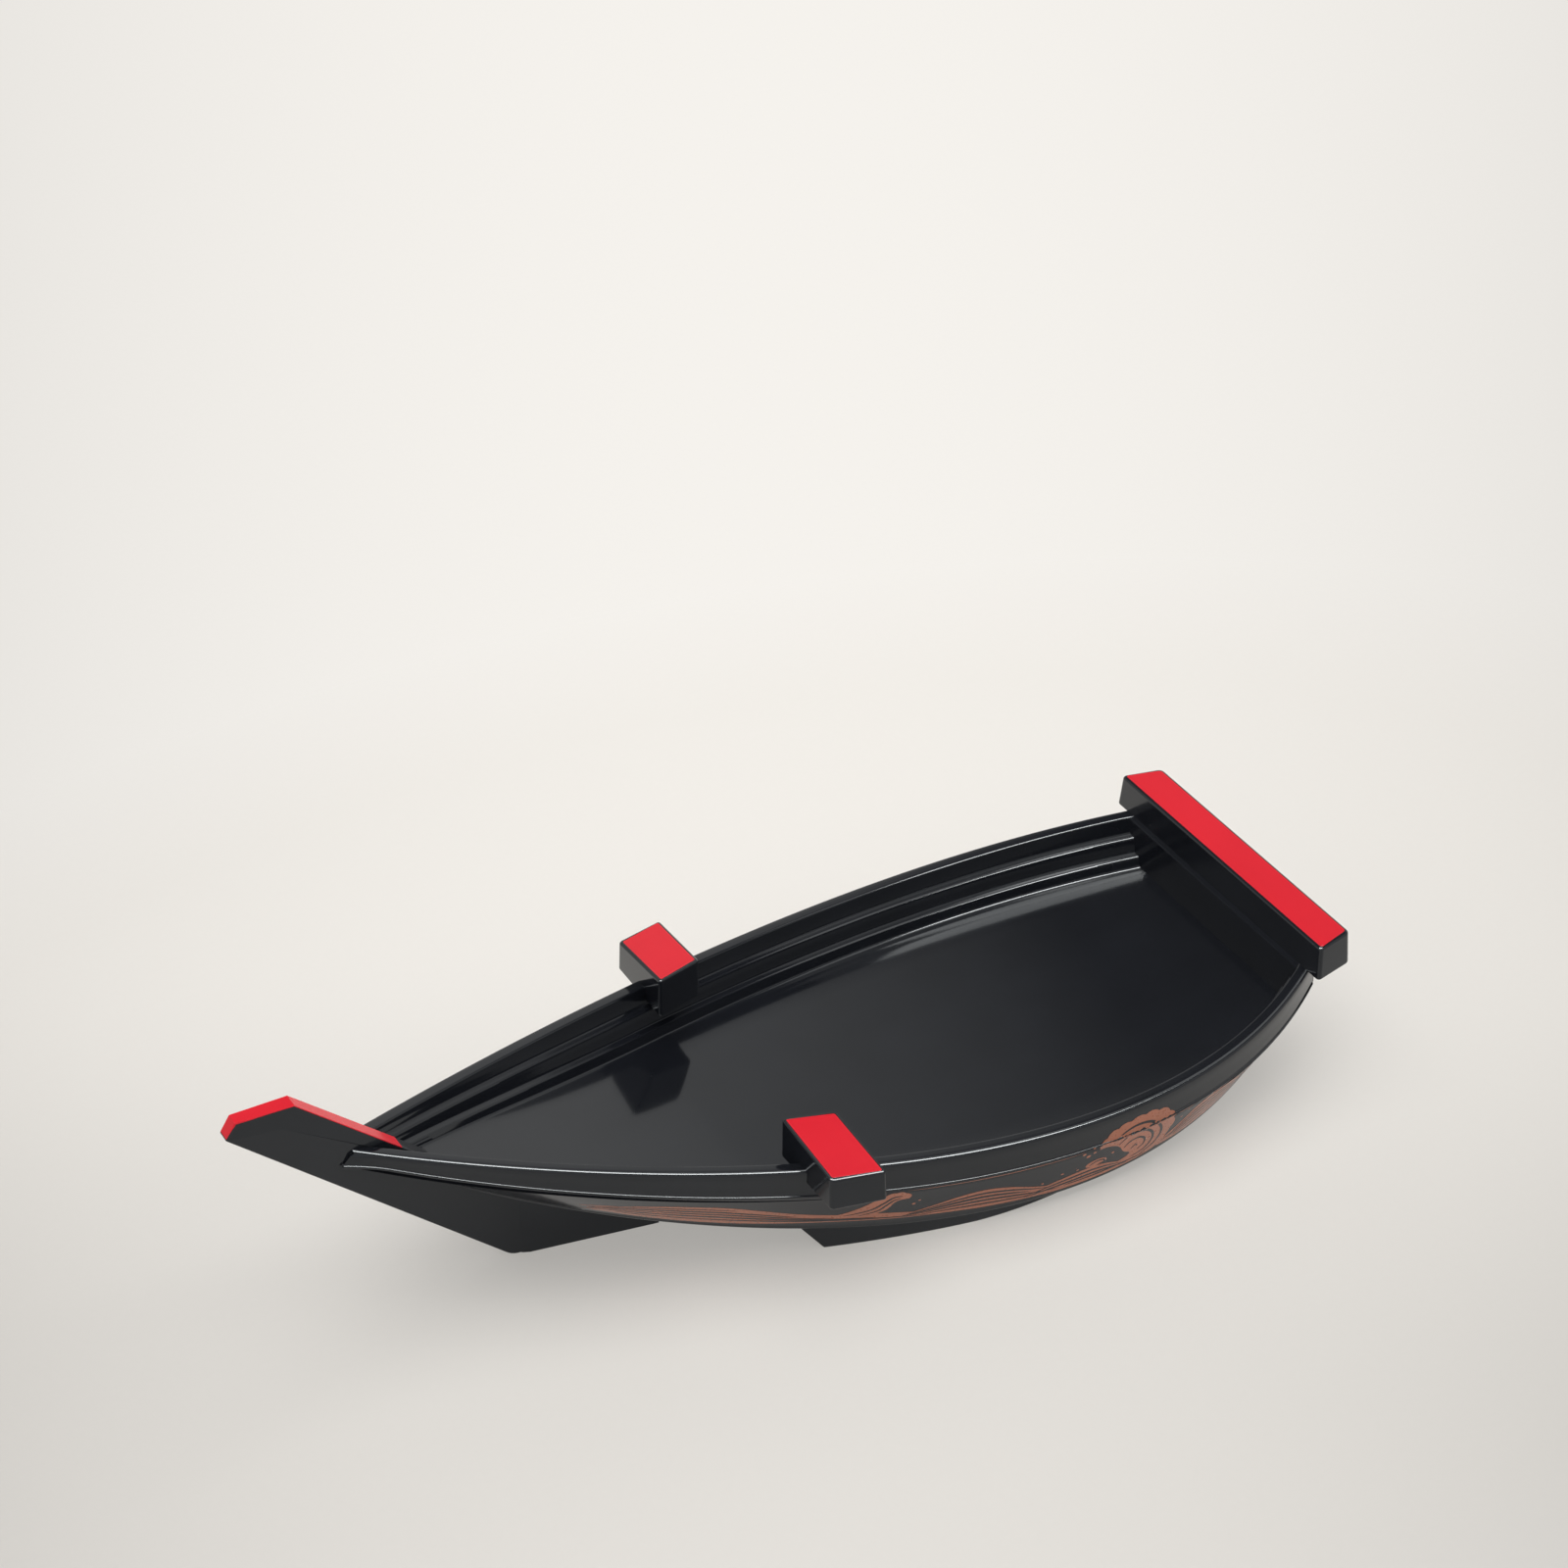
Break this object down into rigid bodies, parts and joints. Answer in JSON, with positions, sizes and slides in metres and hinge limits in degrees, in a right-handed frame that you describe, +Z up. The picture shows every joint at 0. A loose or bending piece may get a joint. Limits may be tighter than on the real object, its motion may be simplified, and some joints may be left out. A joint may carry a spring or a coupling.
{
  "type": "sushi boat",
  "caption": "Black lacquered serving boat for sushi: stepped tray with lapped hull, raked stem with red prow, red-topped beam ends and stern bar, and a standing foot.",
  "frame": {"origin": "middle of the bounding box on the standing plane", "axes": "+X along the centre line towards the stern, +Y to the far side in the picture, +Z up"},
  "size_m": [0.498, 0.199, 0.1186],
  "materials": {
    "deck_lacquer": "deep black gloss lacquer over a plastic moulding",
    "hull_lacquer": "black gloss lacquer with a copper-brown wave print on the lower strakes",
    "trim_lacquer": "black gloss lacquer",
    "red_lacquer": "satin-gloss vermilion red lacquer",
    "foot_lacquer": "black lacquer, a little duller than the hull"
  },
  "bodies": {
    "root": {"deck_tray": "deck_lacquer", "hull_shell": "hull_lacquer", "stem": "trim_lacquer", "stem_inlay": "red_lacquer", "stern_bar": "trim_lacquer", "stern_bar_inlay": "red_lacquer", "port_beam": "trim_lacquer", "starboard_beam": "trim_lacquer", "port_beam_inlay": "red_lacquer", "starboard_beam_inlay": "red_lacquer", "stern_foot": "foot_lacquer"}
  },
  "joints": []
}
